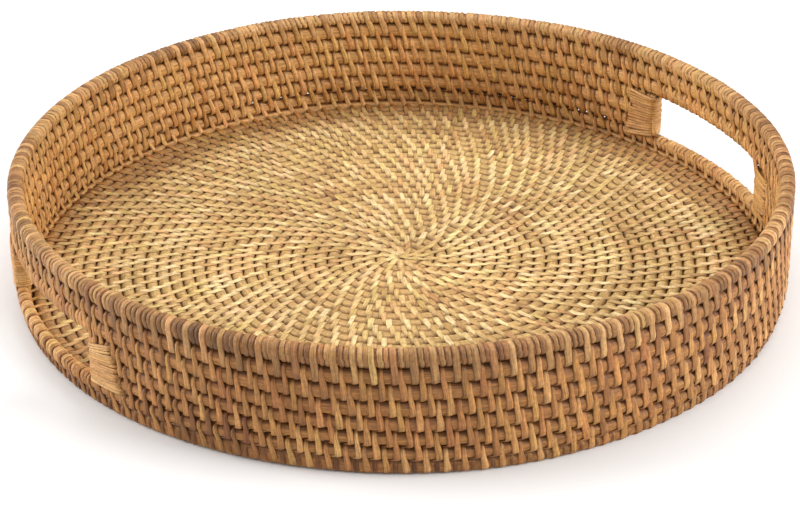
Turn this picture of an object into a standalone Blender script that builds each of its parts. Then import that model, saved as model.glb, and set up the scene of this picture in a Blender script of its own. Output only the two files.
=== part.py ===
"""Round coiled-rattan serving tray with two hand openings, one object for each cane or binding.

The tray is coiled basketry. One round cane after another is wound into a flat spiral for the floor,
then stacked row on row for the wall, and every row is lashed to the row before it. A coil's solid is
the cane with its own lashing round it. Where the lashing is a piece that can be told apart (over the
rim, round the sill and the grip of each hand opening, and across the cut row ends beside it), the
cane is bare and the binding is an object of its own.

Metres, +Z up. The origin is the centre of the tray at the plane it stands on, and the hand openings
face +X (right) and -X (left).
"""

import math

import bpy

# Driving dimensions
OUTER_RADIUS = 0.175
WALL_PITCH = 0.0075
BASE_PITCH = 0.006
FLOOR_COIL_RADIUS = 0.00255
FLOOR_HEIGHT = 0.0034
FLOOR_TURNS = 29
FLOOR_LENGTHS = 5
KNOT_RADIUS = 0.0037
OPENING_HALF_ANGLE = math.radians(15.0)
OPENING_SIDES = {"right": 0.0, "left": math.radians(181.2)}

# How the pieces are laid
GAP = 0.0003
SPLICE_GAP = 0.0014
FOOT_TUCK = 0.0012
BINDING_THICKNESS = 0.00055
END_WRAP_LENGTH = 0.018
END_WRAP_THICKNESS = 0.0007

# How finely the round shapes are cut: the inner turns of the floor take every other corner
RING_SEGMENTS = 32
COARSE_TURNS = 8
WALL_SIDES = 8
FLOOR_SIDES = 6

# Where the floor's turns step out by one cane, as compass angle and share of a turn
STEP_ANGLE = math.radians(-101.25)
STEP_SHARE = 2 / RING_SEGMENTS

# Rows count down from the rim
RIM_ROW, SECOND_ROW, GRIP_ROW = 1, 2, 3
CUT_ROWS = (4, 5, 6)
SILL_ROW, FOOT_ROW = 7, 8

# Worked out from the above
WALL_COIL = (WALL_PITCH - GAP) / 2
BASE_COIL = (BASE_PITCH - GAP) / 2
WALL_RADIUS = OUTER_RADIUS - WALL_COIL
FOOT_RADIUS = OUTER_RADIUS - BASE_COIL - FOOT_TUCK
LAST_TURN_RADIUS = FOOT_RADIUS - BASE_COIL - GAP - FLOOR_COIL_RADIUS
FLOOR_PITCH = LAST_TURN_RADIUS / (FLOOR_TURNS + 1)
RING_STEP = math.tau / RING_SEGMENTS
SPLICE_ANGLE = math.pi / 2


def row_height(row):
    """Height of the middle of a wall row. The two lowest rows are of thinner cane."""
    if row >= SILL_ROW:
        return BASE_PITCH * (FOOT_ROW - row + 0.5)
    return BASE_PITCH * 2 + WALL_PITCH * (SILL_ROW - row - 0.5)


def coil_radius(row):
    return BASE_COIL if row >= SILL_ROW else WALL_COIL


def bare_radius(row):
    """Radius of a row's cane under a binding that is a piece of its own."""
    return coil_radius(row) - BINDING_THICKNESS - GAP


def row_radius(row):
    """Radius of the circle that a row's cane follows; rows line up on the outside of the wall."""
    return OUTER_RADIUS - coil_radius(row)


def on_circle(radius, angle, height):
    return (radius * math.cos(angle), radius * math.sin(angle), height)


def clear_scene():
    for obj in list(bpy.data.objects):
        bpy.data.objects.remove(obj)


def make_collection(name):
    collection = bpy.data.collections.new(name)
    bpy.context.scene.collection.children.link(collection)
    return collection


def make_material(name, colour, roughness):
    material = bpy.data.materials.new(name)
    material.use_nodes = True
    shader = material.node_tree.nodes["Principled BSDF"]
    shader.inputs["Base Color"].default_value = (*colour, 1.0)
    shader.inputs["Roughness"].default_value = roughness
    shader.inputs["Metallic"].default_value = 0.0
    return material


def add_object(name, data, material, collection):
    obj = bpy.data.objects.new(name, data)
    data.materials.append(material)
    collection.objects.link(obj)
    return obj


def make_cane(name, points, radius, sides, material, collection, thinned=(), thin_radius=0.0):
    """A round cane through the points. Points whose index is in thinned have the thin radius."""
    curve = bpy.data.curves.new(name, "CURVE")
    curve.dimensions = "3D"
    curve.twist_mode = "Z_UP"
    curve.bevel_depth = radius
    curve.bevel_resolution = sides // 2 - 2
    curve.use_fill_caps = True
    spline = curve.splines.new("POLY")
    spline.points.add(len(points) - 1)
    for index, (target, point) in enumerate(zip(spline.points, points)):
        target.co = (*point, 1.0)
        target.radius = thin_radius / radius if index in thinned else 1.0
    return add_object(name, curve, material, collection)


def arc_angles(start, end, step):
    count = max(1, round((end - start) / step))
    return [start + (end - start) * i / count for i in range(count + 1)]


def make_ring(name, row, radius, material, collection):
    """A row that goes all the way round, with its two ends meeting at the splice."""
    half_gap = SPLICE_GAP / 2 / WALL_RADIUS
    angles = arc_angles(SPLICE_ANGLE + half_gap, SPLICE_ANGLE + math.tau - half_gap, RING_STEP)
    points = [on_circle(row_radius(row), a, row_height(row)) for a in angles]
    return make_cane(name, points, radius, WALL_SIDES, material, collection)


def make_bound_ring(name, row, material, collection):
    """A full row that is bare cane across both hand openings, where its binding is separate."""
    taper = GAP / WALL_RADIUS * 2
    half_gap = SPLICE_GAP / 2 / WALL_RADIUS
    angles = []
    bare = set()
    start = SPLICE_ANGLE + half_gap
    for middle in (OPENING_SIDES["left"], OPENING_SIDES["right"] + math.tau):
        edge_in = middle - OPENING_HALF_ANGLE
        edge_out = middle + OPENING_HALF_ANGLE
        angles += arc_angles(start, edge_in - taper, RING_STEP)
        inside = arc_angles(edge_in, edge_out, RING_STEP)
        bare |= set(range(len(angles), len(angles) + len(inside)))
        angles += inside
        start = edge_out + taper
    angles += arc_angles(start, SPLICE_ANGLE + math.tau - half_gap, RING_STEP)
    points = [on_circle(row_radius(row), a, row_height(row)) for a in angles]
    thin = bare_radius(row)
    return make_cane(name, points, coil_radius(row), WALL_SIDES, material, collection, bare, thin)


def make_cut_row(name, row, start, end, material, collection):
    """A row that runs from one hand opening to the other, bare under the wrap at each end."""
    clearance = (END_WRAP_THICKNESS + GAP) / WALL_RADIUS
    wrapped = END_WRAP_LENGTH / WALL_RADIUS
    taper = GAP / WALL_RADIUS * 2
    angles = [start + clearance, start + wrapped]
    angles += arc_angles(start + wrapped + taper, end - wrapped - taper, RING_STEP)
    angles += [end - wrapped, end - clearance]
    bare = {0, 1, len(angles) - 2, len(angles) - 1}
    points = [on_circle(row_radius(row), a, row_height(row)) for a in angles]
    thin = bare_radius(row)
    return make_cane(name, points, coil_radius(row), WALL_SIDES, material, collection, bare, thin)


def make_profile(name, points, edges, material, collection):
    mesh = bpy.data.meshes.new(name)
    mesh.from_pydata(points, edges, [])
    return add_object(name, mesh, material, collection)


def add_screw(obj, angle, steps):
    screw = obj.modifiers.new("Turn", "SCREW")
    screw.angle = angle
    screw.steps = steps
    screw.render_steps = steps
    screw.use_merge_vertices = True
    screw.merge_threshold = 0.00001
    screw.use_normal_calculate = True


def make_sleeve(name, row, start, end, material, collection):
    """Binding wound round one row between two angles: a thin tube that follows the row."""
    inner = bare_radius(row) + GAP
    points = []
    for i in range(WALL_SIDES):
        a = math.tau * i / WALL_SIDES
        x = row_radius(row) + inner * math.cos(a)
        points.append((x, 0.0, row_height(row) + inner * math.sin(a)))
    edges = [(i, (i + 1) % WALL_SIDES) for i in range(WALL_SIDES)]
    obj = make_profile(name, points, edges, material, collection)
    add_screw(obj, end - start, max(2, round((end - start) / RING_STEP)))
    obj.rotation_euler.z = start
    shell = obj.modifiers.new("Strand", "SOLIDIFY")
    shell.thickness = BINDING_THICKNESS
    shell.offset = 1.0
    shell.use_even_offset = True
    return obj


def make_foot(name, material, collection):
    """The lowest row, turned in one piece, with the flat that it stands on worn across its underside."""
    radius, height = BASE_COIL, row_height(FOOT_ROW)
    flat = 0.0015
    corners = [(flat, 0.0), (-flat, 0.0)]
    corners += [
        (radius * math.cos(a), height + radius * math.sin(a))
        for a in (math.radians(d) for d in (200, 150, 100, 80, 30, -20))
    ]
    points = [(FOOT_RADIUS + x, 0.0, z) for x, z in corners]
    edges = [(i, (i + 1) % len(points)) for i in range(len(points))]
    obj = make_profile(name, points, edges, material, collection)
    add_screw(obj, math.tau, RING_SEGMENTS)
    return obj


def spiral_radius(turns):
    """Even spiral at the centre, easing into round turns that step out at one place."""
    whole = math.floor(turns)
    part = turns - whole
    easing = turns / FLOOR_TURNS
    step = min(1.0, part / STEP_SHARE)
    return FLOOR_PITCH * (1 + whole + (1 - easing) * part + easing * step)


def make_floor_coils(material, collection):
    """The floor spiral, in canes of about one length that meet end to end."""
    fine, coarse = 1 / RING_SEGMENTS, 2 / RING_SEGMENTS
    corners = [i * coarse for i in range(COARSE_TURNS * RING_SEGMENTS // 2)]
    corners += [i * fine for i in range(COARSE_TURNS * RING_SEGMENTS, FLOOR_TURNS * RING_SEGMENTS + 1)]
    for i in range(FLOOR_LENGTHS):
        first = FLOOR_TURNS * math.sqrt(i / FLOOR_LENGTHS)
        last = FLOOR_TURNS * math.sqrt((i + 1) / FLOOR_LENGTHS)
        if i:
            first = corners[sum(1 for c in corners if c < first)]
        if i < FLOOR_LENGTHS - 1:
            last = corners[sum(1 for c in corners if c < last)]
        turns = [c for c in corners if first <= c <= last]
        if i:
            turns[0] += SPLICE_GAP / (math.tau * spiral_radius(turns[0]))
        points = [on_circle(spiral_radius(t), STEP_ANGLE + math.tau * t, FLOOR_HEIGHT) for t in turns]
        name = f"floor_coil_{i + 1}"
        make_cane(name, points, FLOOR_COIL_RADIUS, FLOOR_SIDES, material, collection)


def make_knot(name, material, collection):
    """The start of the coil: the cane's first curl, a small button lying in the spiral's eye."""
    offset = FLOOR_PITCH * 0.35
    x, y, z = on_circle(offset, STEP_ANGLE + math.radians(225), FLOOR_HEIGHT)
    bpy.ops.mesh.primitive_uv_sphere_add(
        segments=12, ring_count=8, radius=KNOT_RADIUS, location=(x, y, z)
    )
    obj = bpy.context.object
    obj.name = name
    for vertex in obj.data.vertices:
        vertex.co.z *= FLOOR_COIL_RADIUS / KNOT_RADIUS
    obj.data.materials.append(material)
    for owner in list(obj.users_collection):
        owner.objects.unlink(obj)
    collection.objects.link(obj)
    return obj


def make_end_wrap(name, edge, direction, material, collection):
    """Strands wound across the ends of the cut rows: a U in plan, closed towards the opening."""
    inner = bare_radius(min(CUT_ROWS)) + GAP
    outer = inner + END_WRAP_THICKNESS
    length = (END_WRAP_LENGTH - 2 * GAP) / WALL_RADIUS
    web = END_WRAP_THICKNESS / WALL_RADIUS
    corner = END_WRAP_THICKNESS / WALL_RADIUS
    steps = 3
    far = [length * (steps - i) / steps for i in range(steps)]
    outline = [(a, outer) for a in far] + [(corner, outer), (0.0, outer - END_WRAP_THICKNESS)]
    outline += [(a, -r) for a, r in reversed(outline)]
    outline += [(length * i / steps, -inner) for i in range(steps, 0, -1)]
    outline += [(web, -inner), (web, inner)]
    outline += [(length * i / steps, inner) for i in range(1, steps + 1)]
    bottom = row_height(max(CUT_ROWS)) - WALL_COIL
    top = row_height(min(CUT_ROWS)) + WALL_COIL
    curve = bpy.data.curves.new(name, "CURVE")
    curve.dimensions = "2D"
    curve.fill_mode = "BOTH"
    curve.extrude = (top - bottom) / 2
    spline = curve.splines.new("POLY")
    spline.points.add(len(outline) - 1)
    spline.use_cyclic_u = True
    for target, (along, across) in zip(spline.points, outline):
        x, y, _ = on_circle(WALL_RADIUS + across, edge + direction * along, 0.0)
        target.co = (x, y, 0.0, 1.0)
    obj = add_object(name, curve, material, collection)
    obj.location.z = (top + bottom) / 2
    return obj


def main():
    clear_scene()
    tray = make_collection("serving_tray")
    floor_cane = make_material("floor_rattan", (0.76, 0.52, 0.25), 0.5)
    wall_cane = make_material("wall_rattan", (0.60, 0.34, 0.13), 0.5)
    binding = make_material("binding_rattan", (0.70, 0.44, 0.18), 0.4)

    make_knot("floor_start_knot", floor_cane, tray)
    make_floor_coils(floor_cane, tray)

    make_foot("foot_coil", wall_cane, tray)
    make_bound_ring("sill_coil", SILL_ROW, wall_cane, tray)
    right_end = OPENING_SIDES["right"] + OPENING_HALF_ANGLE
    left_start = OPENING_SIDES["left"] - OPENING_HALF_ANGLE
    left_end = OPENING_SIDES["left"] + OPENING_HALF_ANGLE
    right_start = OPENING_SIDES["right"] - OPENING_HALF_ANGLE + math.tau
    for row in CUT_ROWS:
        make_cut_row(f"wall_coil_row_{row}_back", row, right_end, left_start, wall_cane, tray)
        make_cut_row(f"wall_coil_row_{row}_front", row, left_end, right_start, wall_cane, tray)
    make_bound_ring("grip_coil_lower", GRIP_ROW, wall_cane, tray)
    make_ring("grip_coil_upper", SECOND_ROW, WALL_COIL, wall_cane, tray)
    make_ring("rim_core", RIM_ROW, bare_radius(RIM_ROW), wall_cane, tray)

    half_gap = SPLICE_GAP / 2 / WALL_RADIUS
    rim_start = SPLICE_ANGLE + half_gap
    make_sleeve("rim_binding", RIM_ROW, rim_start, rim_start + math.tau - 2 * half_gap, binding, tray)
    for side, facing in OPENING_SIDES.items():
        low, high = facing - OPENING_HALF_ANGLE, facing + OPENING_HALF_ANGLE
        inset = 2 * GAP / WALL_RADIUS
        make_sleeve(f"sill_binding_{side}", SILL_ROW, low + inset, high - inset, binding, tray)
        make_sleeve(f"grip_binding_{side}", GRIP_ROW, low + inset, high - inset, binding, tray)
        ends = {"front": (low, -1), "back": (high, 1)}
        if side == "left":
            ends = {"back": (low, -1), "front": (high, 1)}
        for end, (edge, direction) in ends.items():
            make_end_wrap(f"handle_end_wrap_{side}_{end}", edge, direction, binding, tray)


main()
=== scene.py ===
"""Looks of the coiled-rattan serving tray: each cane and each turn of its lashing as geometry."""

import math

import bpy
import numpy as np
from mathutils import Matrix, Vector


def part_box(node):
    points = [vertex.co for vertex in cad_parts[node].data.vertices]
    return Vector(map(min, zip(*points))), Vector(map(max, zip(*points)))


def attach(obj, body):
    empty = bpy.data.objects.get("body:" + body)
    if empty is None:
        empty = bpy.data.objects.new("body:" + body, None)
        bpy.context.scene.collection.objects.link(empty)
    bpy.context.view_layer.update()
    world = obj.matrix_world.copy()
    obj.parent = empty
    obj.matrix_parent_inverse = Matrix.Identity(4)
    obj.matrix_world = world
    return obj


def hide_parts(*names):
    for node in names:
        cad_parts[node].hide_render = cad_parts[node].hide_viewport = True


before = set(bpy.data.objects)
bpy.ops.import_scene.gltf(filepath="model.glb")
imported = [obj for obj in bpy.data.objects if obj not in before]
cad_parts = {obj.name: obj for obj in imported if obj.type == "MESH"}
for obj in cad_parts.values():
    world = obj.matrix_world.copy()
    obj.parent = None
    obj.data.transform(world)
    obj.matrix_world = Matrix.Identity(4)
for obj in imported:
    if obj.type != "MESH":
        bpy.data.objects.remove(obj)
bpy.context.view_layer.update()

rng = np.random.default_rng(20)
MM = 0.001

# ---------------------------------------------------------------- sizes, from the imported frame
ROW_NODES = {
    1: "rim_binding",
    2: "grip_coil_upper",
    3: "grip_coil_lower",
    4: "wall_coil_row_4_front",
    5: "wall_coil_row_5_front",
    6: "wall_coil_row_6_front",
    7: "sill_coil",
    8: "foot_coil",
}
CUT_ROWS = (4, 5, 6)


def node_box(name):
    low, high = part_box(name)
    return np.array(low), np.array(high)


def middle_height(name):
    low, high = node_box(name)
    return (low[2] + high[2]) / 2


def half_height(name):
    low, high = node_box(name)
    return (high[2] - low[2]) / 2


ROW_Z = {row: middle_height(node) for row, node in ROW_NODES.items()}
COIL = {row: half_height(node) for row, node in ROW_NODES.items()}
OUTER_R = node_box("rim_binding")[1][0]
ROW_R = {row: OUTER_R - COIL[row] for row in ROW_NODES}
ROW_R[8] = node_box("foot_coil")[1][0] - COIL[8]
WALL_R = ROW_R[4]
FLOOR_Z = middle_height("floor_coil_5")
FLOOR_TURNS = 29
FLOOR_TO_FOOT = 2.8 * MM
FLOOR_LAST_R = ROW_R[8] - COIL[8] - FLOOR_TO_FOOT
FLOOR_PITCH = FLOOR_LAST_R / (FLOOR_TURNS + 1)
# Where the floor's turns step out by one cane, and over what share of a turn
STEP_ANGLE = math.radians(-101.25)
STEP_SHARE = 3 / 32
HALF_ANGLE = math.radians(15.0)
OPENING_MIDDLES = {"right": 0.0, "left": math.radians(181.2)}

# ---------------------------------------------------------------- canes and strands
STRIP = 0.68 * MM  # thickness of the split cane
STRIP_WIDTH = 2.35 * MM
RIM_STRIP_WIDTH = 3.05 * MM
FLOOR_ROD = 2.25 * MM  # half height of the floor's bare cane
FLOOR_STRIP = 0.58 * MM
ROW_STITCHES = 142
STITCH_ANGLE = math.tau / ROW_STITCHES

# How much higher than half its packed height each row's bare cane is, in millimetres, and the power
# that squares its section: 1 is round
CANE_TRIM = {1: -0.50, 2: 0.10, 3: 0.10, 4: 0.10, 5: 0.10, 6: -0.36, 7: -0.18, 8: -0.10}
CANE_HALF_HEIGHT = {row: COIL[row] + trim * MM for row, trim in CANE_TRIM.items()}
ROUND = {row: 0.8 for row in ROW_NODES} | {6: 1.0, 8: 0.65}
# Rows 6 and 7 part at the back. The lowest cane also sits up in its stitches all the way round.
CANE_SHIFT = {6: 0.75 * MM, 7: -0.50 * MM, 8: 0.20 * MM}
SLIT_ANGLE, SLIT_SPREAD = math.radians(62), math.radians(42)
FOOT_RISE = 0.25 * MM
# How much lower a stitch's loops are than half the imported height
LAP_SPARE = {row: 0.15 * MM for row in ROW_NODES} | {1: 0.60 * MM, 8: STRIP * 1.1}

# Irregularity: a seed for all rows together, the wave that they share and each row's own wave
RADIUS_SEED, RADIUS_WAVE, ROW_RADIUS_WAVE = 50, 0.22 * MM, 0.11 * MM
HEIGHT_SEED, HEIGHT_WAVE, ROW_HEIGHT_WAVE = 70, 0.16 * MM, 0.05 * MM
FLOOR_SEED, FLOOR_WAVE = 91, 0.10 * MM
FLOOR_RIPPLE, RIPPLE_RATE, RIPPLE_START = 0.12 * MM, 260, 1.0  # rate: radians a metre
EVEN_CENTRE = 0.03  # radius within which the floor's waves fade out

# Hand winding: the lines between rows rise and fall. Each entry holds an angle, a spread and the lift
# in millimetres of the seven lines between rows, from the rim down.
LINE_WAVES = (
    (math.radians(78), math.radians(34), (1.6, 1.6, 2.2, 2.3, 2.6, 2.1, 1.4)),
    (math.radians(222), math.radians(25), (-1.7, -1.0, -0.7, -0.2, 1.4, 2.2, 2.4)),
)


def line_lift(line, theta):
    """How far the line below the given row lies above its even height."""
    total = np.zeros_like(theta)
    if 1 <= line <= 7:
        for angle, spread, lifts in LINE_WAVES:
            total += lifts[line - 1] * MM * np.exp(-((wrap_angle(theta - angle) / spread) ** 2))
    return total


def row_growth(row, theta):
    """How much a row's half height grows where its two lines part."""
    return (line_lift(row - 1, theta) - line_lift(row, theta)) / 2


def rod(row, theta):
    """Half height and half depth of a row's bare cane."""
    return CANE_HALF_HEIGHT[row] + row_growth(row, theta), COIL[row] - STRIP


def lap(row, theta):
    """Half height and half depth of the loops that stitches make round a row's cane."""
    return COIL[row] - LAP_SPARE[row] + row_growth(row, theta), COIL[row] - STRIP


def waves(theta, seed, size, orders=(3, 5, 8, 13, 21)):
    """Slow irregularity round the tray, the same each time for one seed."""
    draw = np.random.default_rng(seed)
    total = np.zeros_like(theta)
    for order in orders:
        total += draw.normal() / math.sqrt(order) * np.sin(order * theta + draw.uniform(0, math.tau))
    return size * total


def wall_ring(row, theta):
    """Radius and height of a wall row's cane at each angle."""
    theta = np.asarray(theta, dtype=float)
    lift = (8 - row) / 7
    radius = ROW_R[row] + waves(theta, RADIUS_SEED, RADIUS_WAVE)
    radius = radius + waves(theta, RADIUS_SEED + row, ROW_RADIUS_WAVE)
    height = ROW_Z[row] + lift * waves(theta, HEIGHT_SEED, HEIGHT_WAVE)
    height = height + waves(theta, HEIGHT_SEED + row, ROW_HEIGHT_WAVE)
    height += (line_lift(row - 1, theta) + line_lift(row, theta)) / 2
    return radius, height


def spiral_radius(turns):
    """Even spiral at the centre, easing into round turns that step out at one place."""
    turns = np.asarray(turns, dtype=float)
    whole = np.floor(turns)
    part = turns - whole
    easing = np.clip(turns / FLOOR_TURNS, 0, 1)
    step = np.clip(part / STEP_SHARE, 0, 1)
    step = step * step * (3 - 2 * step)
    radius = FLOOR_PITCH * (1 + whole + (1 - easing) * part + easing * step)
    return np.where(turns < 0, FLOOR_PITCH * (1 + turns), radius)


def floor_path(turns):
    """Radius, angle and height of the floor's cane."""
    theta = STEP_ANGLE + math.tau * np.asarray(turns, dtype=float)
    radius = spiral_radius(turns)
    height = FLOOR_Z + np.minimum(1, radius / EVEN_CENTRE) * (
        waves(theta, FLOOR_SEED, FLOOR_WAVE)
        + FLOOR_RIPPLE * np.sin(radius * RIPPLE_RATE + RIPPLE_START)
    )
    return radius, theta, height


def polar(radius, theta, height):
    return np.stack([radius * np.cos(theta), radius * np.sin(theta), height + 0 * theta], axis=-1)


def wrap_angle(theta):
    return (np.asarray(theta) + math.pi) % math.tau - math.pi


def unit(v):
    return v / np.maximum(np.linalg.norm(v, axis=-1, keepdims=True), 1e-12)


# ---------------------------------------------------------------- mesh building
class Build:
    """Gathers pieces of mesh with their strand and fibre values, then makes one object."""

    def __init__(self):
        self.verts, self.faces, self.strand, self.fibre, self.count = [], [], [], [], 0

    def add(self, verts, faces, strand, fibre):
        self.verts.append(verts.reshape(-1, 3))
        self.faces.append(faces.reshape(-1, 4) + self.count)
        self.strand.append(strand.reshape(-1, 3))
        self.fibre.append(fibre.reshape(-1, 3))
        self.count += self.verts[-1].shape[0]

    def make(self, name, material, nodes):
        verts = np.concatenate(self.verts)
        faces = np.concatenate(self.faces)
        mesh = bpy.data.meshes.new(name)
        mesh.vertices.add(len(verts))
        mesh.vertices.foreach_set("co", verts.astype(np.float32).ravel())
        mesh.loops.add(faces.size)
        mesh.loops.foreach_set("vertex_index", faces.astype(np.int32).ravel())
        mesh.polygons.add(len(faces))
        mesh.polygons.foreach_set("loop_start", np.arange(0, faces.size, 4, dtype=np.int32))
        mesh.polygons.foreach_set("use_smooth", np.ones(len(faces), dtype=bool))
        for label, values in (("strand", self.strand), ("fibre", self.fibre)):
            data = mesh.attributes.new(label, "FLOAT_VECTOR", "POINT")
            data.data.foreach_set("vector", np.concatenate(values).astype(np.float32).ravel())
        mesh.update(calc_edges=True)
        mesh.validate()
        mesh.materials.append(material)
        piece = bpy.data.objects.new(name, mesh)
        bpy.context.scene.collection.objects.link(piece)
        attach(piece, "root")
        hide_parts(*nodes)


def grid_faces(strands, length, across, closed_length):
    """Quads of strands laid out as grids of length by across, closed across."""
    i = np.arange(length if closed_length else length - 1)
    j = np.arange(across)
    s = np.arange(strands)
    s, i, j = np.meshgrid(s, i, j, indexing="ij")
    i2, j2 = (i + 1) % length, (j + 1) % across
    here, ahead = s * length * across + i * across, s * length * across + i2 * across
    return np.stack([here + j, here + j2, ahead + j2, ahead + j], axis=-1)


# A strand's section as shares of its width and thickness, and how much painted shade each point gets,
# most underneath and at the sides
SECTION = np.array(
    [(-0.5, -0.15), (-0.5, 0.30), (-0.36, 0.76), (0.0, 1.08), (0.36, 0.76), (0.5, 0.30), (0.5, -0.15)]
)
SECTION_GROOVE_SHADE = np.array([1.0, 0.6, 0.0, 0.0, 0.0, 0.6, 1.0])
VISIBLE_CAP = 0.18  # share of a strand's lean that falls on the part of each loop in view
HIDDEN_SHADE_RATE = 1.9  # how fast a loop's painted shade deepens towards its ends, where rows press together
WOBBLE = 0.035
WOBBLE_TURN = 40
# Where a cane's painted shade starts, as shares of its half size: towards the grooves beside it, and
# on a wall cane's outer top the painted shadow of the row above
GROOVE_SHADE_START, GROOVE_SHADE_SPAN = 0.80, 0.20
TOP_SHADOW_START, TOP_SHADOW_SPAN = 0.30, 0.50


def loop_path(cap, side, squareness):
    """Points of a loop round two canes: which end, along, out, the loop's part and the share of it."""
    points = []
    for k in range(cap):
        a = math.pi - math.pi * k / (cap - 1)
        points.append((0.0, math.sin(a), math.cos(a), "a", k / (cap - 1)))
    for k in range(1, side + 1):
        points.append((k / (side + 1), 0.0, 1.0, "front", k / (side + 1)))
    for k in range(cap):
        a = -math.pi * k / (cap - 1)
        points.append((1.0, math.sin(a), math.cos(a), "b", k / (cap - 1)))
    for k in range(1, side + 1):
        points.append((1 - k / (side + 1), 0.0, -1.0, "back", k / (side + 1)))
    where = np.array([p[0] for p in points])
    along = np.array([p[1] for p in points])
    out = np.array([p[2] for p in points])
    along = np.sign(along) * np.abs(along) ** squareness
    out = np.sign(out) * np.abs(out) ** squareness
    return where, along, out, [p[3] for p in points], np.array([p[4] for p in points])


def smooth(x):
    x = np.clip(x, 0, 1)
    return x * x * (3 - 2 * x)


def lash(
    build, a, b, front, rods, width, thick, lean, lean_back, tone,
    cap=7, side=3, dip=0.25, flare=0.3, squareness=0.72, back_painted_light=0.0, open_top=False,
):
    """Closed strands, each round the two canes that pass through a and b.

    a, b are points on the canes, front is the way the strand's front faces. rods holds the half size
    of the loops at a and at b, along a-b and along front, as one number or one for each strand. lean
    is how far the strand moves sideways down its front, and lean_back up its back; it comes back to
    its start where it lies hidden below b. dip is how far, in millimetres, the straight parts sink.
    flare is how much wider the strand grows towards b. The back tone, added to the tone at the back,
    is painted light on the wall's inner side.
    open_top is set where nothing covers a; the loop round a then gets no painted shade.
    """
    count = len(a)
    where, along, out, part, share = loop_path(cap, side, squareness)
    e1 = unit(a - b)
    e2 = unit(front - e1 * np.sum(front * e1, axis=-1, keepdims=True))
    e3 = np.cross(e1, e2)
    lean = np.broadcast_to(lean, count)[:, None]
    lean_back = np.broadcast_to(lean_back, count)[:, None]
    down = np.zeros(len(where))
    rise = np.zeros(len(where))
    home = np.zeros(len(where))
    sag = np.zeros(len(where))
    hidden = np.clip(np.abs(along) * HIDDEN_SHADE_RATE - (HIDDEN_SHADE_RATE - 1), 0, 1)
    for n, (kind, s) in enumerate(zip(part, share)):
        if kind == "a":
            down[n] = VISIBLE_CAP * max(0, 2 * s - 1)
            rise[n] = 1 - VISIBLE_CAP * max(0, 1 - 2 * s) if s < 0.5 else 1
            home[n] = 0 if s < 0.5 else 1
        elif kind == "front":
            down[n] = VISIBLE_CAP + (1 - 2 * VISIBLE_CAP) * s
            home[n] = 1
            sag[n] = math.sin(math.pi * s)
        elif kind == "b":
            down[n] = 1 - VISIBLE_CAP * max(0, 1 - 2 * s)
            rise[n] = VISIBLE_CAP * max(0, 2 * s - 1)
            home[n] = 1 - float(smooth((s - 0.2) / 0.6))
        else:
            rise[n] = VISIBLE_CAP + (1 - 2 * VISIBLE_CAP) * s
            sag[n] = math.sin(math.pi * s)
    shift = home * lean * (down - 0.5) + (1 - home) * (lean_back * (rise - 1) - lean / 2)
    wide = 1 + flare * (home * (2 * down - 1) + (1 - home) * (1 - 2 * rise))
    high, deep = (
        np.broadcast_to(rods[0][i], count)[:, None] * (1 - where)
        + np.broadcast_to(rods[1][i], count)[:, None] * where
        for i in (0, 1)
    )
    centre = a[:, None] * (1 - where)[None, :, None] + b[:, None] * where[None, :, None]
    reach = deep * out - dip * MM * np.sign(out) * sag
    path = (
        centre
        + e1[:, None] * (high * along)[..., None]
        + e2[:, None] * reach[..., None]
        + e3[:, None] * shift[..., None]
    )
    tangent = unit(np.roll(path, -1, axis=1) - np.roll(path, 1, axis=1))
    lateral = unit(e3[:, None] - tangent * np.sum(tangent * e3[:, None], axis=-1, keepdims=True))
    normal = np.cross(lateral, tangent)
    outward = e1[:, None] * along[None, :, None] + e2[:, None] * out[None, :, None]
    flip = np.sign(np.sum(np.sum(normal * outward, axis=-1), axis=-1))[:, None, None]
    normal = normal * flip
    widths = np.broadcast_to(width, count)[:, None] * wide[None]
    wobble = rng.normal(0, WOBBLE, (count, 3))
    turn = np.linspace(0, math.tau, len(where), endpoint=False)
    widths = widths * (
        1
        + wobble[:, :1] * np.sin(turn + wobble[:, 1:2] * WOBBLE_TURN)
        + wobble[:, 2:] * np.sin(2 * turn)
    )
    thick = np.broadcast_to(thick, count)[:, None, None, None]
    across, up = SECTION[:, 0], SECTION[:, 1]
    verts = (
        path[:, :, None]
        + lateral[:, :, None] * (widths[..., None] * across)[..., None]
        + normal[:, :, None] * up[None, None, :, None] * thick
    )
    pieces = np.linalg.norm(np.diff(path, axis=1), axis=-1)
    length = np.concatenate([np.zeros((count, 1)), np.cumsum(pieces, axis=1)], axis=1)
    seed = rng.uniform(0, 10, count)
    shape = verts.shape[:3]
    fibre = np.stack(
        [
            np.broadcast_to(length[:, :, None], shape),
            np.broadcast_to(across[None, None], shape),
            np.broadcast_to(seed[:, None, None], shape),
        ],
        axis=-1,
    )
    strand = np.broadcast_to(tone[:, None, None], (*shape, 3)).copy()
    # Painted light: the strand's back, the wall's inner side, is made lighter
    strand[..., 0] += back_painted_light * (0.5 - 0.5 * out)[None, :, None]
    upper = np.array([kind == "a" for kind in part])
    open_top = np.broadcast_to(open_top, count)[:, None]
    # Painted shade: loop ends pressed between rows, and the grooves at a strand's sides
    shade = np.where(open_top & upper[None], 0.0, hidden[None])
    strand[..., 2] = np.maximum(shade[..., None], SECTION_GROOVE_SHADE)
    faces = grid_faces(count, len(where), len(SECTION), True)
    if flip.mean() < 0:
        faces = faces[..., ::-1]
    build.add(verts, faces, strand, fibre)


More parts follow.
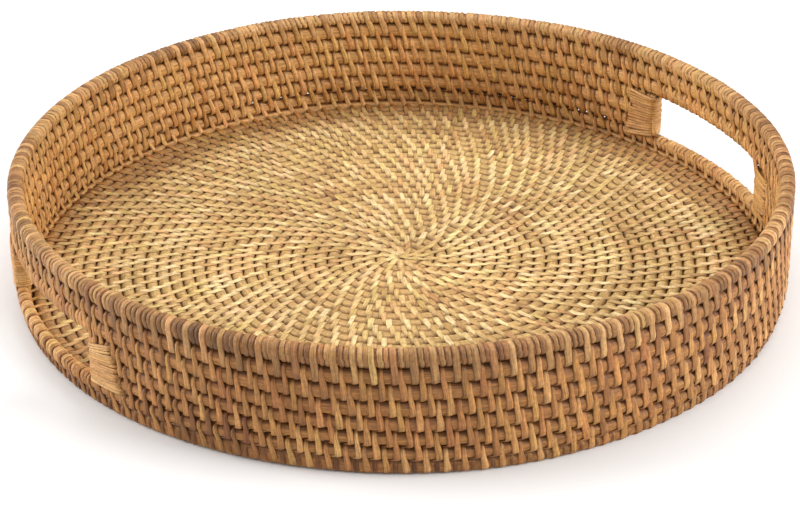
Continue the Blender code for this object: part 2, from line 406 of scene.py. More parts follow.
def cane(
    build, radius, theta, height, size, closed, tone,
    sides=16, squareness=0.8, taper=None, back_painted_light=0.0, flat=False,
):
    """A cane along a path given in polar form. size is its half height and half depth.

    The half height may be one number or one for each point of the path. taper scales both along the
    path. flat is set for the floor's canes, whose neighbours lie beside them instead of above.
    """
    path = polar(radius, theta, height)
    out = polar(np.ones_like(theta), theta, np.zeros_like(theta))
    up = np.array([0.0, 0.0, 1.0])
    turn = np.linspace(0, math.tau, sides, endpoint=False)
    x = np.sign(np.cos(turn)) * np.abs(np.cos(turn)) ** squareness
    z = np.sign(np.sin(turn)) * np.abs(np.sin(turn)) ** squareness
    grow = np.ones(len(theta)) if taper is None else taper
    high = np.broadcast_to(size[0], len(theta))[:, None]
    verts = (
        path[:, None]
        + out[:, None] * (size[1] * x[None] * grow[:, None])[..., None]
        + up[None, None] * (high * z[None] * grow[:, None])[..., None]
    )
    length = np.concatenate([[0], np.cumsum(np.linalg.norm(np.diff(path, axis=0), axis=-1))])
    shape = verts.shape[:2]
    fibre = np.stack(
        [
            np.broadcast_to(length[:, None], shape),
            np.broadcast_to(turn[None] / math.tau * 5, shape),
            np.full(shape, rng.uniform(0, 10)),
        ],
        axis=-1,
    )
    strand = np.broadcast_to(tone, (*shape, 3)).copy()
    # Painted light: the cane's back, the wall's inner side, is made lighter
    strand[..., 0] += back_painted_light * (0.5 - 0.5 * x)[None]
    # Painted shade towards the grooves, and on a wall cane's outer top the painted shadow of the row
    # above
    edge = np.clip((np.abs(x if flat else z) - GROOVE_SHADE_START) / GROOVE_SHADE_SPAN, 0, 1)
    top = np.clip((z - TOP_SHADOW_START) / TOP_SHADOW_SPAN, 0, 1) * np.clip(0.5 + x, 0, 1)
    strand[..., 2] = (edge if flat else np.maximum(edge, top))[None]
    faces = grid_faces(1, len(theta), sides, closed)[..., ::-1]
    build.add(verts, faces, strand, fibre)
    if not closed:
        for end in (0, -1):
            ring = verts[end]
            middle = path[end]
            cap = np.concatenate([ring, (ring + middle) / 2, middle[None] + 0 * ring])
            i = np.arange(sides)
            j = (i + 1) % sides
            quads = np.concatenate(
                [
                    np.stack([i, j, sides + j, sides + i], -1),
                    np.stack([sides + i, sides + j, 2 * sides + j, 2 * sides + i], -1),
                ]
            )
            if end == 0:
                quads = quads[:, ::-1]
            fib = np.concatenate([fibre[end], fibre[end], fibre[end]])
            build.add(cap, quads, np.tile(strand[end], (3, 1)), fib)


NEIGHBOURS = 20
RUN_SPREAD = 0.10
HUE_SHAPE = 1.3


def tones(count, spread, middle):
    """Tone and hue of each strand, and a place for its shading. Neighbours look alike."""
    window = 2 * NEIGHBOURS + 1
    run = np.cumsum(rng.normal(0, RUN_SPREAD, count))
    padded = np.pad(run, NEIGHBOURS, mode="edge")
    run = run - np.convolve(padded, np.ones(window) / window, mode="valid")[:count]
    tone = np.clip(middle + run + rng.normal(0, spread, count), 0, 1)
    hue = np.clip(rng.beta(HUE_SHAPE, HUE_SHAPE, count), 0, 1)
    return np.stack([tone, hue, 0 * tone], axis=-1)


# ---------------------------------------------------------------- materials
def node(tree, kind, **values):
    made = tree.nodes.new(kind)
    for key, value in values.items():
        if key in made.inputs:
            made.inputs[key].default_value = value
        else:
            setattr(made, key, value)
    return made


def ramp_node(tree, stops):
    made = tree.nodes.new("ShaderNodeValToRGB")
    elements = made.color_ramp.elements
    while len(elements) > 2:
        elements.remove(elements[-1])
    for index, (position, colour) in enumerate(stops):
        element = elements[index] if index < 2 else elements.new(position)
        element.position = position
        element.color = (*colour, 1.0)
    return made


def math_node(tree, operation, a, b=None, clamp=False):
    made = tree.nodes.new("ShaderNodeMath")
    made.operation = operation
    made.use_clamp = clamp
    for index, value in enumerate((a, b)):
        if value is None:
            continue
        if isinstance(value, (int, float)):
            made.inputs[index].default_value = value
        else:
            tree.links.new(value, made.inputs[index])
    return made.outputs[0]


def mix_colour(tree, blend, factor, a, b):
    made = tree.nodes.new("ShaderNodeMix")
    made.data_type = "RGBA"
    made.blend_type = blend
    for socket, value in ((made.inputs[0], factor), (made.inputs[6], a), (made.inputs[7], b)):
        if isinstance(value, (int, float)):
            socket.default_value = value
        elif isinstance(value, tuple):
            socket.default_value = (*value, 1.0)
        else:
            tree.links.new(value, socket)
    return made.outputs[2]


def noise(tree, vector, scale, detail, roughness, stretch=None):
    """Noise along a vector, which stretch scales along each axis first."""
    if stretch:
        mapping = node(tree, "ShaderNodeMapping", Scale=stretch)
        tree.links.new(vector, mapping.inputs["Vector"])
        vector = mapping.outputs[0]
    made = node(tree, "ShaderNodeTexNoise", Scale=scale, Detail=detail, Roughness=roughness)
    tree.links.new(vector, made.inputs["Vector"])
    return made.outputs[0]


def map_range(tree, value, source, result):
    made = node(tree, "ShaderNodeMapRange", clamp=True)
    tree.links.new(value, made.inputs["Value"])
    for label, number in zip(("From Min", "From Max", "To Min", "To Max"), (*source, *result)):
        made.inputs[label].default_value = number
    return made.outputs[0]


PINK, YELLOW = (1.04, 0.86, 0.86), (0.98, 1.06, 0.84)
# Painted shade: the colour that grooves, loop ends between rows and wall canes' tops under the row
# above darken towards
GROOVE_SHADE_COLOUR = (0.30, 0.20, 0.12)
STAIN_COLOUR = (0.50, 0.36, 0.26)
# Hues above the first and under the second turn pink or yellow, at this rate
PINK_FROM, YELLOW_UNDER, HUE_RATE = 0.62, 0.40, 1.9
FINE_STRETCH, BROAD_STRETCH = (70.0, 5.5, 7.0), (160.0, 2.2, 5.0)
BROAD_SHARE = 0.36  # how much of the tone the broad bands along a strand carry
SPECULAR = 0.42
RELIEF_DEPTH = 0.0004


def rattan(name, stops, roughness, streak, stain, groove_shade, bump=0.5):
    """Split cane: tone and hue by strand, fine fibres along it, blotches and pores, and painted shade
    in its grooves and between rows.
    """
    material = bpy.data.materials.new(name)
    material.use_nodes = True
    tree = material.node_tree
    shader = tree.nodes["Principled BSDF"]
    link = tree.links.new
    strand = node(tree, "ShaderNodeAttribute", attribute_name="strand")
    fibre = node(tree, "ShaderNodeAttribute", attribute_name="fibre").outputs["Vector"]
    tone = node(tree, "ShaderNodeSeparateXYZ")
    link(strand.outputs["Vector"], tone.inputs[0])
    spot = node(tree, "ShaderNodeTexCoord").outputs["Object"]

    fine = noise(tree, fibre, 1.0, 4.0, 0.62, FINE_STRETCH)
    broad = noise(tree, fibre, 1.0, 3.0, 0.5, BROAD_STRETCH)
    blotch = noise(tree, spot, 42.0, 4.0, 0.55)
    patch = noise(tree, spot, 11.0, 2.0, 0.5)
    speck = noise(tree, spot, 620.0, 2.0, 0.6)

    bands = math_node(tree, "MULTIPLY", broad, BROAD_SHARE)
    level = math_node(tree, "ADD", tone.outputs[0], bands)
    level = math_node(tree, "SUBTRACT", level, BROAD_SHARE / 2, clamp=True)
    ramp = ramp_node(tree, stops)
    link(level, ramp.inputs[0])
    colour = ramp.outputs[0]
    for tint, above, below in (
        (PINK, tone.outputs[1], PINK_FROM),
        (YELLOW, YELLOW_UNDER, tone.outputs[1]),
    ):
        share = math_node(tree, "SUBTRACT", above, below, clamp=True)
        share = math_node(tree, "MULTIPLY", share, HUE_RATE, clamp=True)
        colour = mix_colour(tree, "MULTIPLY", share, colour, tint)

    lines = map_range(tree, fine, (0.36, 0.64), (1.0 - streak, 1.0 + streak * 0.55))
    colour = mix_colour(tree, "MULTIPLY", 1.0, colour, lines)
    pores = map_range(tree, speck, (0.35, 0.65), (0.82, 1.15))
    colour = mix_colour(tree, "MULTIPLY", 1.0, colour, pores)
    # Painted shade, as strong as the strand's third value times the groove factor
    depth = math_node(tree, "MULTIPLY", tone.outputs[2], groove_shade, clamp=True)
    colour = mix_colour(tree, "MULTIPLY", depth, colour, GROOVE_SHADE_COLOUR)
    dark = map_range(tree, blotch, (0.60, 0.78), (0.0, stain))
    colour = mix_colour(tree, "MULTIPLY", dark, colour, STAIN_COLOUR)
    wash = map_range(tree, patch, (0.35, 0.65), (0.93, 1.05))
    colour = mix_colour(tree, "MULTIPLY", 1.0, colour, wash)

    link(colour, shader.inputs["Base Color"])
    rough = map_range(tree, fine, (0.3, 0.7), (roughness + 0.12, roughness - 0.08))
    link(rough, shader.inputs["Roughness"])
    shader.inputs["Specular IOR Level"].default_value = SPECULAR
    relief = node(tree, "ShaderNodeBump", Strength=bump, Distance=RELIEF_DEPTH)
    link(fine, relief.inputs["Height"])
    link(relief.outputs[0], shader.inputs["Normal"])
    return material


WALL_STOPS = [
    (0.0, (0.21, 0.077, 0.017)),
    (0.35, (0.36, 0.151, 0.038)),
    (0.65, (0.49, 0.228, 0.063)),
    (1.0, (0.64, 0.35, 0.125)),
]
RIM_STOPS = [
    (0.0, (0.120, 0.046, 0.012)),
    (0.35, (0.230, 0.100, 0.028)),
    (0.65, (0.355, 0.170, 0.052)),
    (1.0, (0.55, 0.308, 0.116)),
]
FLOOR_STOPS = [
    (0.0, (0.38, 0.195, 0.063)),
    (0.35, (0.55, 0.340, 0.122)),
    (0.65, (0.69, 0.465, 0.190)),
    (1.0, (0.82, 0.605, 0.305)),
]
CORE_STOPS = [
    (0.0, (0.195, 0.068, 0.014)),
    (0.35, (0.345, 0.138, 0.034)),
    (0.65, (0.475, 0.215, 0.060)),
    (1.0, (0.63, 0.335, 0.118)),
]
wall_strand = rattan("wall_strand", WALL_STOPS, 0.50, 0.44, 0.40, 0.80)
wall_core = rattan("wall_core", CORE_STOPS, 0.58, 0.40, 0.50, 0.90, 0.7)
rim_strand = rattan("rim_strand", RIM_STOPS, 0.50, 0.36, 0.25, 1.10)
floor_strand = rattan("floor_strand", FLOOR_STOPS, 0.55, 0.32, 0.25, 1.15)
floor_core = rattan("floor_core", FLOOR_STOPS, 0.60, 0.28, 0.35, 1.15, 0.7)

# ---------------------------------------------------------------- wall canes
SAMPLES = 240
CUT_INSET = 1.0 * MM
# Painted light: what the tone gains from a strand's or a cane's front to its back, which is the wall's
# inner side, so that side looks more brightly lit
INNER_PAINTED_LIGHT, INNER_CANE_PAINTED_LIGHT = 0.37, 0.45
HALVES = {
    "front": (OPENING_MIDDLES["left"] + HALF_ANGLE, math.tau - HALF_ANGLE),
    "back": (HALF_ANGLE, OPENING_MIDDLES["left"] - HALF_ANGLE),
}


def cane_tone():
    return np.array([rng.uniform(0.34, 0.48), rng.uniform(0.25, 0.55), rng.uniform()])


def cane_shift(row, theta):
    """Rows 6 and 7 part furthest at the back, where specks of light show between them."""
    spread = np.exp(-((wrap_angle(theta - SLIT_ANGLE) / SLIT_SPREAD) ** 2))
    return CANE_SHIFT.get(row, 0.0) * spread + (FOOT_RISE if row == 8 else 0.0)


def wall_cane(name, row, node_name, span=None):
    """A row's bare cane: a whole ring, or the part of it between the two angles of span."""
    if span:
        inset = CUT_INSET / WALL_R
        theta = np.linspace(span[0] + inset, span[1] - inset, SAMPLES // 2)
    else:
        theta = np.linspace(0, math.tau, SAMPLES, endpoint=False)
    radius, height = wall_ring(row, theta)
    height = height + cane_shift(row, theta)
    build = Build()
    cane(
        build, radius, theta, height, rod(row, theta), span is None, cane_tone(),
        squareness=ROUND[row], back_painted_light=INNER_CANE_PAINTED_LIGHT,
    )
    build.make(name, wall_core, [node_name])


wall_cane("rim_cane", 1, "rim_core")
wall_cane("grip_cane_upper", 2, "grip_coil_upper")
wall_cane("grip_cane_lower", 3, "grip_coil_lower")
for row in CUT_ROWS:
    for half, span in HALVES.items():
        wall_cane(f"wall_cane_row_{row}_{half}", row, f"wall_coil_row_{row}_{half}", span)
wall_cane("sill_cane", 7, "sill_coil")
wall_cane("foot_cane", 8, "foot_coil")


# ---------------------------------------------------------------- wall lashing
def from_opening(theta):
    """How far an angle lies outside the nearer hand opening; negative inside it."""
    off = [np.abs(wrap_angle(theta - middle)) for middle in OPENING_MIDDLES.values()]
    return np.minimum(*off) - HALF_ANGLE


def in_half(theta, half):
    return (np.sin(theta) < 0) == (half == "front")


# Where a row's stitches fall, in stitches: from one row to the next, and from even places
ROW_START, ROW_STEP = 0.17, 0.42
STITCH_SEED, STITCH_DRIFT, STITCH_JITTER = 300, 0.16, 0.045
ROW_PHASE = {row: STITCH_ANGLE * (ROW_START + ROW_STEP * row) for row in range(1, 9)}


def stitch_angles(row):
    base = ROW_PHASE[row] + STITCH_ANGLE * np.arange(ROW_STITCHES)
    drift = waves(base, STITCH_SEED, STITCH_DRIFT * STITCH_ANGLE)
    return base + drift + rng.normal(0, STITCH_JITTER, ROW_STITCHES) * STITCH_ANGLE


def wall_points(row, theta):
    radius, height = wall_ring(row, theta)
    return polar(radius, theta, height)


def outward(theta):
    return polar(np.ones_like(theta), theta, np.zeros_like(theta))


PAIR_NODES = {
    1: ["grip_coil_upper"],
    2: ["grip_coil_lower"],
    3: ["grip_coil_lower"],
    4: ["wall_coil_row_4_front", "wall_coil_row_4_back"],
    5: ["wall_coil_row_5_front", "wall_coil_row_5_back"],
    6: ["wall_coil_row_6_front", "wall_coil_row_6_back"],
    7: ["sill_coil"],
}


# How far from a hand opening the stitches keep, and where the left one's edge stitches sit
CUT_ROW_MARGIN, GRIP_MARGIN = 1.6 * MM, 6.2 * MM
EDGE_INSETS = (0.9, 3.9)
# How far stitches lean down their front and up their back, in millimetres, and by how much they vary
LEAN, LEAN_JITTER = 1.6, 0.35
BACK_LEAN, BACK_LEAN_JITTER = 3.6, 0.4
WIDTH_JITTER, THICKNESS_JITTER = 0.07, 0.08
# Stitches at the front right are wider and lean more
CLOSE_ANGLE, CLOSE_SPREAD = math.radians(-58), math.radians(34)
WALL_WIDENING, CLOSE_WIDENING, CLOSE_LEAN = 1.06, 0.40, 0.9
STITCH_SPREAD, RIM_TONE, WALL_TONE = 0.10, 0.62, 0.52
STAIN_ROWS = (4, 5)
STAIN_ANGLE, STAIN_SPREAD, STAIN_DEPTH = math.radians(-132), math.radians(1.8), 0.35
TONE_SEED, TONE_WAVE = 400, 0.05


def lash_pair(row):
    """One row of stitches, each round this row and the row below it. Returns their angles."""
    theta = stitch_angles(row)
    rim = row == 1
    if row in CUT_ROWS:
        theta = theta[from_opening(theta) > CUT_ROW_MARGIN / WALL_R]
    if row == 3:
        theta = theta[from_opening(theta) > GRIP_MARGIN / WALL_R]
        edges = [
            OPENING_MIDDLES["left"] + sign * (HALF_ANGLE + inset * MM / WALL_R)
            for sign in (-1, 1)
            for inset in EDGE_INSETS
        ]
        theta = np.concatenate([theta, edges])
    tone = tones(len(theta), STITCH_SPREAD, RIM_TONE if rim else WALL_TONE)
    tone[:, 0] += waves(theta, TONE_SEED + row, TONE_WAVE)
    if row in STAIN_ROWS:
        tone[:, 0] -= STAIN_DEPTH * np.exp(-((wrap_angle(theta - STAIN_ANGLE) / STAIN_SPREAD) ** 2))
    close = np.exp(-((wrap_angle(theta - CLOSE_ANGLE) / CLOSE_SPREAD) ** 2))
    if rim:
        width = np.full(len(theta), RIM_STRIP_WIDTH)
    else:
        width = STRIP_WIDTH * WALL_WIDENING * (1 + CLOSE_WIDENING * close)
    for half in HALVES:
        mine = in_half(theta, half)
        angle = theta[mine]
        build = Build()
        lash(
            build,
            wall_points(row, angle),
            wall_points(row + 1, angle),
            outward(angle),
            (lap(row, angle), lap(row + 1, angle)),
            width[mine] * (1 + rng.normal(0, WIDTH_JITTER, len(angle))),
            STRIP * (1 + rng.normal(0, THICKNESS_JITTER, len(angle))),
            (LEAN + CLOSE_LEAN * close[mine]) * MM + rng.normal(0, LEAN_JITTER * MM, len(angle)),
            BACK_LEAN * MM + rng.normal(0, BACK_LEAN_JITTER * MM, len(angle)),
            tone[mine],
            flare=0.05 if rim else 0.28,
            squareness=0.82 if rim else 0.72,
            back_painted_light=INNER_PAINTED_LIGHT,
            open_top=rim | ((row == 7) & (from_opening(angle) < 0)),
        )
        nodes = [n for n in PAIR_NODES[row] if not n.endswith(("front", "back")) or n.endswith(half)]
        build.make(
            f"lashing_rows_{row}_{row + 1}_{half}",
            rim_strand if rim else wall_strand,
            nodes,
        )
    return theta


pair_angles = {row: lash_pair(row) for row in range(1, 8)}
SPLIT_WRAP = 0.4 * MM  # how far a short turn's two loops lie from the middle of its row


def filler_wraps(name, row, angle, node_name, material, width, depth):
    """Short turns round one row only, filling the space between its long stitches."""
    build = Build()
    centre = wall_points(row, angle)
    step = np.array([0.0, 0.0, SPLIT_WRAP])
    size = (lap(row, angle)[0] - SPLIT_WRAP, lap(row, angle)[1] - depth)
    lash(
        build,
        centre + step,
        centre - step,
        outward(angle),
        (size, size),
        width * (1 + rng.normal(0, 0.05, len(angle))),
        STRIP * (1 + rng.normal(0, 0.05, len(angle))),
        0.8 * MM + rng.normal(0, 0.12 * MM, len(angle)),
        1.7 * MM,
        # Painted shade on the rim's short turns, which lie deeper than its long stitches; painted
        # light on the short turns at the openings' edges
        tones(len(angle), 0.10, 0.55 if row == 1 else 0.68),
        cap=9,
        side=1,
        dip=0.0,
        flare=0.02,
        squareness=0.80,
        back_painted_light=INNER_PAINTED_LIGHT,
        open_top=True,
    )
    build.make(name, material, [node_name])


def gap_angles(theta, shares):
    """Angles at the given shares of the way from each stitch to its neighbour."""
    theta = np.sort(theta)
    last = np.arange(len(theta)) == len(theta) - 1
    step = np.roll(theta, -1) - theta + math.tau * last
    return np.sort(np.concatenate([theta + share * step for share in shares]))


RIM_GAP_SHARES, EDGE_GAP_SHARES = (0.355, 0.645), (0.335, 0.665)
RIM_WRAP_WIDTH, RIM_WRAP_DEPTH = 2.2 * MM, 0.2 * MM
EDGE_WRAP_WIDTH, EDGE_WRAP_DEPTH = 2.5 * MM, 0.1 * MM

rim_gaps = gap_angles(pair_angles[1], RIM_GAP_SHARES)
for half in HALVES:
    filler_wraps(
        f"rim_wraps_{half}", 1, rim_gaps[in_half(rim_gaps, half)], "rim_binding", rim_strand,
        RIM_WRAP_WIDTH, RIM_WRAP_DEPTH,
    )
for side, middle in OPENING_MIDDLES.items():
    # Each edge row, and the row whose stitches pass over it
    for label, row, stitched in (("sill", 7, 7), ("grip", 3, 2)):
        gaps = gap_angles(pair_angles[stitched], EDGE_GAP_SHARES)
        inside = gaps[(from_opening(gaps) < 0) & (np.cos(gaps - middle) > 0)]
        filler_wraps(
            f"{label}_wraps_{side}", row, inside, f"{label}_binding_{side}", wall_strand,
            EDGE_WRAP_WIDTH, EDGE_WRAP_DEPTH,
        )


# ---------------------------------------------------------------- wraps over the cut row ends
END_STRANDS = 16
CORNER_STRANDS = 4
END_MARGIN = 0.1 * MM  # how far the strands keep inside the height of the cut rows
END_INSET = {"right": 3.5 * MM, "left": 2.2 * MM}
END_LOOP = 2.85 * MM
END_OVERLAP = 1.22  # width of a strand over its share of the height
END_THICKNESS = 0.7 * MM
END_SHAKE = 0.12 * MM
END_TONES = np.array([1.0, 0.6, 1.0])


def end_wrap(side, end, sign, drop, rise, length, corner=False):
    """Thin strands wound round the ends of the cut rows at one end of a hand opening.

    sign is the way round the tray from the opening into the wall. drop is how far the top strand stays
    below the grip at the opening. rise is how much higher than their near ends the far ends lie, and
    length how far from the opening they reach, each for the lowest and the top strand. corner adds the
    strands that cross the opening's top corner.
    """
    edge = OPENING_MIDDLES[side] + sign * HALF_ANGLE
    low = ROW_Z[6] - COIL[6] + END_MARGIN
    high = ROW_Z[4] + COIL[4] - END_MARGIN - drop
    strand = (high - low) / END_STRANDS
    count = END_STRANDS
    heights = low + strand * (np.arange(count) + 0.5) + rng.normal(0, 0.07 * MM, count)
    near = edge + sign * (END_INSET[side] + rng.normal(0, END_SHAKE, count)) / WALL_R
    far = edge + sign * (np.linspace(*length, count) + rng.normal(0, 0.9 * MM, count)) / WALL_R
    level = (ROW_Z[4] - heights) / (ROW_Z[4] - ROW_Z[6])

    def radius(theta):
        return wall_ring(4, theta)[0] * (1 - level) + wall_ring(6, theta)[0] * level

    fall = rng.normal(0, 0.15 * MM, count) + np.linspace(*rise, count)
    size = (END_LOOP, COIL[4] - STRIP * 0.1)
    build = Build()
    lash(
        build,
        polar(radius(near), near, heights),
        polar(radius(far), far, heights + fall),
        outward(near),
        (size, size),
        strand * END_OVERLAP,
        END_THICKNESS * (1 + rng.normal(0, 0.12, count)),
        rng.normal(0, END_SHAKE, count),
        rng.normal(0, END_SHAKE, count),
        tones(count, 0.08, 0.85) * END_TONES,
        cap=11,
        side=6,
        dip=-0.25,
        flare=0.0,
        squareness=0.8,
        open_top=True,
    )
    if corner:
        corner_strands(build, edge, sign)
    node_name = f"handle_end_wrap_{side}_{end}"
    build.make(f"end_wrap_{side}_{end}", wall_strand, [node_name])


def corner_strands(build, edge, sign):
    """Strands from the grip down across an opening's top corner, side by side."""
    count = CORNER_STRANDS
    place = np.arange(count)
    above = edge - sign * (1.2 + 0.9 * place[::-1]) * MM / WALL_R
    below = edge + sign * (4.2 + 0.3 * place) * MM / WALL_R
    radius_above, height_above = wall_ring(3, above)
    height_below = ROW_Z[4] + COIL[4] - (5.2 - 1.1 * place) * MM
    lash(
        build,
        polar(radius_above, above, height_above + 0.4 * MM),
        polar(wall_ring(4, below)[0], below, height_below),
        outward(above),
        ((2.6 * MM, COIL[3] - STRIP + 0.2 * MM), (1.8 * MM, COIL[3])),
        1.9 * MM * (1 + rng.normal(0, 0.06, count)),
        END_THICKNESS,
        rng.normal(0, 0.1 * MM, count),
        rng.normal(0, 0.1 * MM, count),
        tones(count, 0.08, 0.62),
        cap=9,
        side=3,
        dip=0.0,
        flare=0.0,
        squareness=0.8,
        open_top=True,
    )


end_wrap("right", "front", -1, 0.0, (0.0, 0.0), (15.2 * MM, 15.2 * MM), True)
end_wrap("right", "back", 1, 0.5 * MM, (-2.4 * MM, 0.6 * MM), (15.5 * MM, 14.5 * MM))
end_wrap("left", "back", -1, 3.6 * MM, (0.3 * MM, 2.2 * MM), (17.5 * MM, 11.0 * MM))
end_wrap("left", "front", 1, 3.6 * MM, (0.3 * MM, 2.2 * MM), (17.5 * MM, 10.5 * MM))

# ---------------------------------------------------------------- floor
FLOOR_STITCH = 6.8 * MM
FLOOR_STRIP_WIDTH = 2.75 * MM
FLOOR_NODES = [f"floor_coil_{i}" for i in range(1, 6)]
FLOOR_SPLITS = [0.0] + [FLOOR_TURNS * math.sqrt(i / 5) for i in range(1, 5)] + [float(FLOOR_TURNS)]
FLOOR_CANE = (FLOOR_ROD, FLOOR_PITCH / 2 + 0.03 * MM)
FLOOR_LAP = (FLOOR_ROD + 0.15 * MM, FLOOR_ROD)
FLOOR_SIDES = 12
SAMPLES_PER_TURN = 110
# Stitches of the first turn: where they start and how close they are
FIRST_STITCH, FIRST_SPACING, FIRST_SHARE = 0.12, 0.62, 0.8
# A stitch follows the one a turn back by FOLLOW of a stitch and comes no sooner than NEAREST after the
# last one. A gap wider than WIDE gets a stitch in its middle, and other gaps ease by EVENING.
FOLLOW, NEAREST, WIDE, EVENING, FLOOR_JITTER = 0.42, 0.55, 1.45, 0.2, 0.05
# How much darker the floor grows towards the wall, and over which turns
EDGE_DARKER, EDGE_TURNS, EDGE_EASE = 0.46, 4.0, 3.2
CANE_TONE_SEED, CANE_TONE_WAVE = 120, 0.06


def floor_stitches():
    """Where the floor's stitches fall along the spiral. Each follows the one before it a turn back."""
    found = [FIRST_STITCH]
    while found[-1] < 1.0:
        around = math.tau * spiral_radius(found[-1])
        found.append(found[-1] + FIRST_SPACING * FLOOR_STITCH / around / FIRST_SHARE)
    back = 0
    while found[-1] < FLOOR_TURNS:
        last = found[-1]
        step = FLOOR_STITCH / (math.tau * float(spiral_radius(last)))
        while found[back] + 1 + FOLLOW * step <= last + NEAREST * step:
            back += 1
        gap = found[back] + 1 + FOLLOW * step - last
        if gap > WIDE * step:
            new = last + gap / 2
        else:
            new = last + gap + EVENING * (step - gap)
        found.append(new + float(rng.normal(0, FLOOR_JITTER)) * step)
    return np.array([t for t in found if t < FLOOR_TURNS])


def floor_edge(turns):
    """How much darker the floor grows over its last turns."""
    return EDGE_DARKER * smooth((turns - FLOOR_TURNS + EDGE_TURNS) / EDGE_EASE)


for index in range(5):
    first, last = FLOOR_SPLITS[index], FLOOR_SPLITS[index + 1]
    turns = np.linspace(first, last, max(40, int((last - first) * SAMPLES_PER_TURN)))
    radius, theta, height = floor_path(turns)
    build = Build()
    # Painted shade: the floor's bare cane takes a lower tone than its stitches, which share its
    # colours, for the shade it lies in between them
    tone = np.tile([rng.uniform(0.28, 0.40), rng.uniform(0.3, 0.7), 0.0], (len(turns), 1))
    tone[:, 0] -= floor_edge(turns) - waves(theta, CANE_TONE_SEED + index, CANE_TONE_WAVE)
    cane(
        build, radius, theta, height, FLOOR_CANE, False, tone[:, None],
        sides=FLOOR_SIDES, flat=True,
    )
    build.make(f"floor_cane_{index + 1}", floor_core, [FLOOR_NODES[index]])

# The cane's start, a short curl that thins towards its tip
CURL_TURNS, CURL_TIP, CURL_EASE = 0.58, 0.45, 0.35
turns = np.linspace(-CURL_TURNS, -0.004, 40)
radius, theta, height = floor_path(turns)
build = Build()
cane(
    build, radius, theta, height, FLOOR_CANE, False, np.array([0.5, 0.5, 0.0]),
    sides=FLOOR_SIDES, flat=True,
    taper=CURL_TIP + (1 - CURL_TIP) * smooth((turns + CURL_TURNS) / CURL_EASE),
)
build.make("floor_start_curl", floor_core, ["floor_start_knot"])

floor_t = floor_stitches()
floor_tone = tones(len(floor_t), 0.11, 0.64)
floor_tone[:, 0] -= floor_edge(floor_t)
up = np.array([0.0, 0.0, 1.0])
for index in range(5):
    mine = (floor_t >= FLOOR_SPLITS[index]) & (floor_t < FLOOR_SPLITS[index + 1])
    t = floor_t[mine]
    radius, theta, height = floor_path(t)
    inner = np.where(t < 1, FLOOR_PITCH * t, spiral_radius(t - 1))
    inner_height = floor_path(np.maximum(t - 1, 0))[2]
    build = Build()
    lash(
        build,
        polar(radius, theta, height),
        polar(inner, theta, inner_height),
        np.broadcast_to(up, (len(t), 3)),
        (FLOOR_LAP, FLOOR_LAP),
        FLOOR_STRIP_WIDTH * (1 + rng.normal(0, 0.08, len(t))),
        FLOOR_STRIP * (1 + rng.normal(0, 0.06, len(t))),
        1.3 * MM + rng.normal(0, 0.3 * MM, len(t)),
        1.1 * MM,
        floor_tone[mine],
        cap=5,
        side=2,
        dip=0.35,
        flare=0.14,
        squareness=0.74,
    )
    build.make(f"floor_lashing_{index + 1}", floor_strand, [FLOOR_NODES[index]])

# Stitches between the lowest row and the floor's last turn
foot_theta = stitch_angles(8)
turn = (foot_theta - STEP_ANGLE) / math.tau
turn = FLOOR_TURNS - 1 + (turn - np.floor(turn))
floor_r, _, floor_h = floor_path(turn)
foot_tone = tones(len(foot_theta), 0.10, 0.5)
for half in HALVES:
    mine = in_half(foot_theta, half)
    angle = foot_theta[mine]
    build = Build()
    lash(
        build,
        wall_points(8, angle),
        polar(floor_r[mine], angle, floor_h[mine]),
        np.broadcast_to(up, (len(angle), 3)),
        (lap(8, angle)[::-1], FLOOR_LAP),
        STRIP_WIDTH * (1 + rng.normal(0, 0.06, len(angle))),
        FLOOR_STRIP,
        1.1 * MM,
        1.1 * MM,
        foot_tone[mine],
        flare=0.08,
    )
    build.make(f"lashing_foot_floor_{half}", wall_strand, ["foot_coil"])

# The floor's cane ends in a taper that fills the wedge left where its last turn steps out.
TAIL_START, TAIL_SHARE = -0.002, 0.92
turns = np.linspace(FLOOR_TURNS + TAIL_START, FLOOR_TURNS + TAIL_SHARE * STEP_SHARE, 40)
inner = spiral_radius(turns - 1)
inner[turns < FLOOR_TURNS] = FLOOR_LAST_R - FLOOR_PITCH
_, theta, height = floor_path(turns)
build = Build()
cane(
    build, (FLOOR_LAST_R + FLOOR_PITCH + inner) / 2, theta, height, FLOOR_CANE, False,
    np.array([0.10, 0.5, 0.0]), sides=FLOOR_SIDES, flat=True,
    taper=(FLOOR_LAST_R - inner) / FLOOR_PITCH,
)
build.make("floor_cane_tail", floor_core, ["floor_coil_5"])

# ---------------------------------------------------------------- stage, light and camera
floor_mesh = bpy.data.meshes.new("stage_floor")
HALF_STAGE = 4
floor_mesh.from_pydata(
    [(x * HALF_STAGE, y * HALF_STAGE, 0) for x, y in ((-1, -1), (1, -1), (1, 1), (-1, 1))],
    [],
    [(0, 1, 2, 3)],
)
stage = bpy.data.objects.new("stage_floor", floor_mesh)
bpy.context.scene.collection.objects.link(stage)
paper = bpy.data.materials.new("stage_paper")
paper.use_nodes = True
paper_shader = paper.node_tree.nodes["Principled BSDF"]
paper_shader.inputs["Base Color"].default_value = (0.77, 0.765, 0.760, 1)
paper_shader.inputs["Roughness"].default_value = 0.9
paper_shader.inputs["Specular IOR Level"].default_value = 0.1
floor_mesh.materials.append(paper)

world = bpy.data.worlds.new("studio")
world.use_nodes = True
world.node_tree.nodes["Background"].inputs[0].default_value = (1, 1, 1, 1)
world.node_tree.nodes["Background"].inputs[1].default_value = 0.445
bpy.context.scene.world = world

CAMERA_SIDE = math.radians(-116.5)


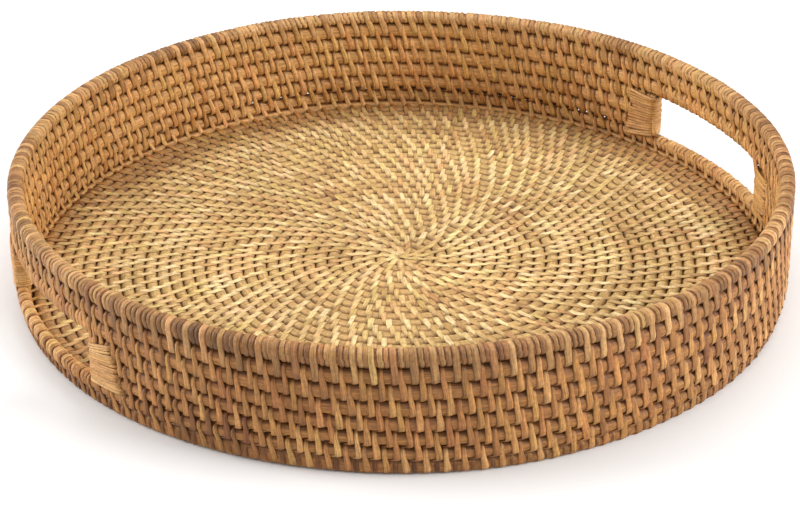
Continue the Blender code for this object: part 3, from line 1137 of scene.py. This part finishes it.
def area_light(name, azimuth, elevation, distance, size, power):
    """A soft square light, placed by degrees round from the camera's right, aimed at the tray."""
    data = bpy.data.lights.new(name, "AREA")
    data.shape = "SQUARE"
    data.size = size
    data.energy = power
    lamp = bpy.data.objects.new(name, data)
    bpy.context.scene.collection.objects.link(lamp)
    a = CAMERA_SIDE + math.pi / 2 + math.radians(azimuth)
    e = math.radians(elevation)
    place = Vector((math.cos(a) * math.cos(e), math.sin(a) * math.cos(e), math.sin(e))) * distance
    lamp.location = place
    lamp.rotation_euler = (-place).to_track_quat("-Z", "Y").to_euler()


area_light("top_softbox", 90, 72, 1.9, 1.9, 25)
area_light("left_softbox", 176, 22, 1.8, 1.0, 29)
area_light("right_softbox", -16, 27, 1.9, 1.0, 35)
area_light("front_softbox", -92, 40, 1.9, 1.2, 4.5)

PICTURE_WIDTH, SENSOR_WIDTH = 800, 36
FOCAL_PIXELS, DISTANCE, ELEVATION = 2306.6, 1.058, math.radians(28.04)
AIM, ROLL = (-0.001, 0.0057), math.radians(-0.427)  # aim: metres to the right and up
camera_data = bpy.data.cameras.new("camera")
camera_data.sensor_width = SENSOR_WIDTH
camera_data.lens = FOCAL_PIXELS / PICTURE_WIDTH * SENSOR_WIDTH
camera_data.clip_start = 0.01
camera = bpy.data.objects.new("camera", camera_data)
bpy.context.scene.collection.objects.link(camera)
right = Vector((math.cos(CAMERA_SIDE + math.pi / 2), math.sin(CAMERA_SIDE + math.pi / 2), 0))
back = Vector(
    (
        math.cos(CAMERA_SIDE) * math.cos(ELEVATION),
        math.sin(CAMERA_SIDE) * math.cos(ELEVATION),
        math.sin(ELEVATION),
    )
)
above = back.cross(right)
rolled_right = right * math.cos(ROLL) + above * math.sin(ROLL)
rolled_up = above * math.cos(ROLL) - right * math.sin(ROLL)
target = right * AIM[0] + Vector((0, 0, AIM[1]))
place = target + back * DISTANCE
camera.matrix_world = Matrix(
    (
        (rolled_right.x, rolled_up.x, back.x, place.x),
        (rolled_right.y, rolled_up.y, back.y, place.y),
        (rolled_right.z, rolled_up.z, back.z, place.z),
        (0, 0, 0, 1),
    )
)
bpy.context.scene.camera = camera
bpy.context.scene.view_settings.view_transform = "Standard"
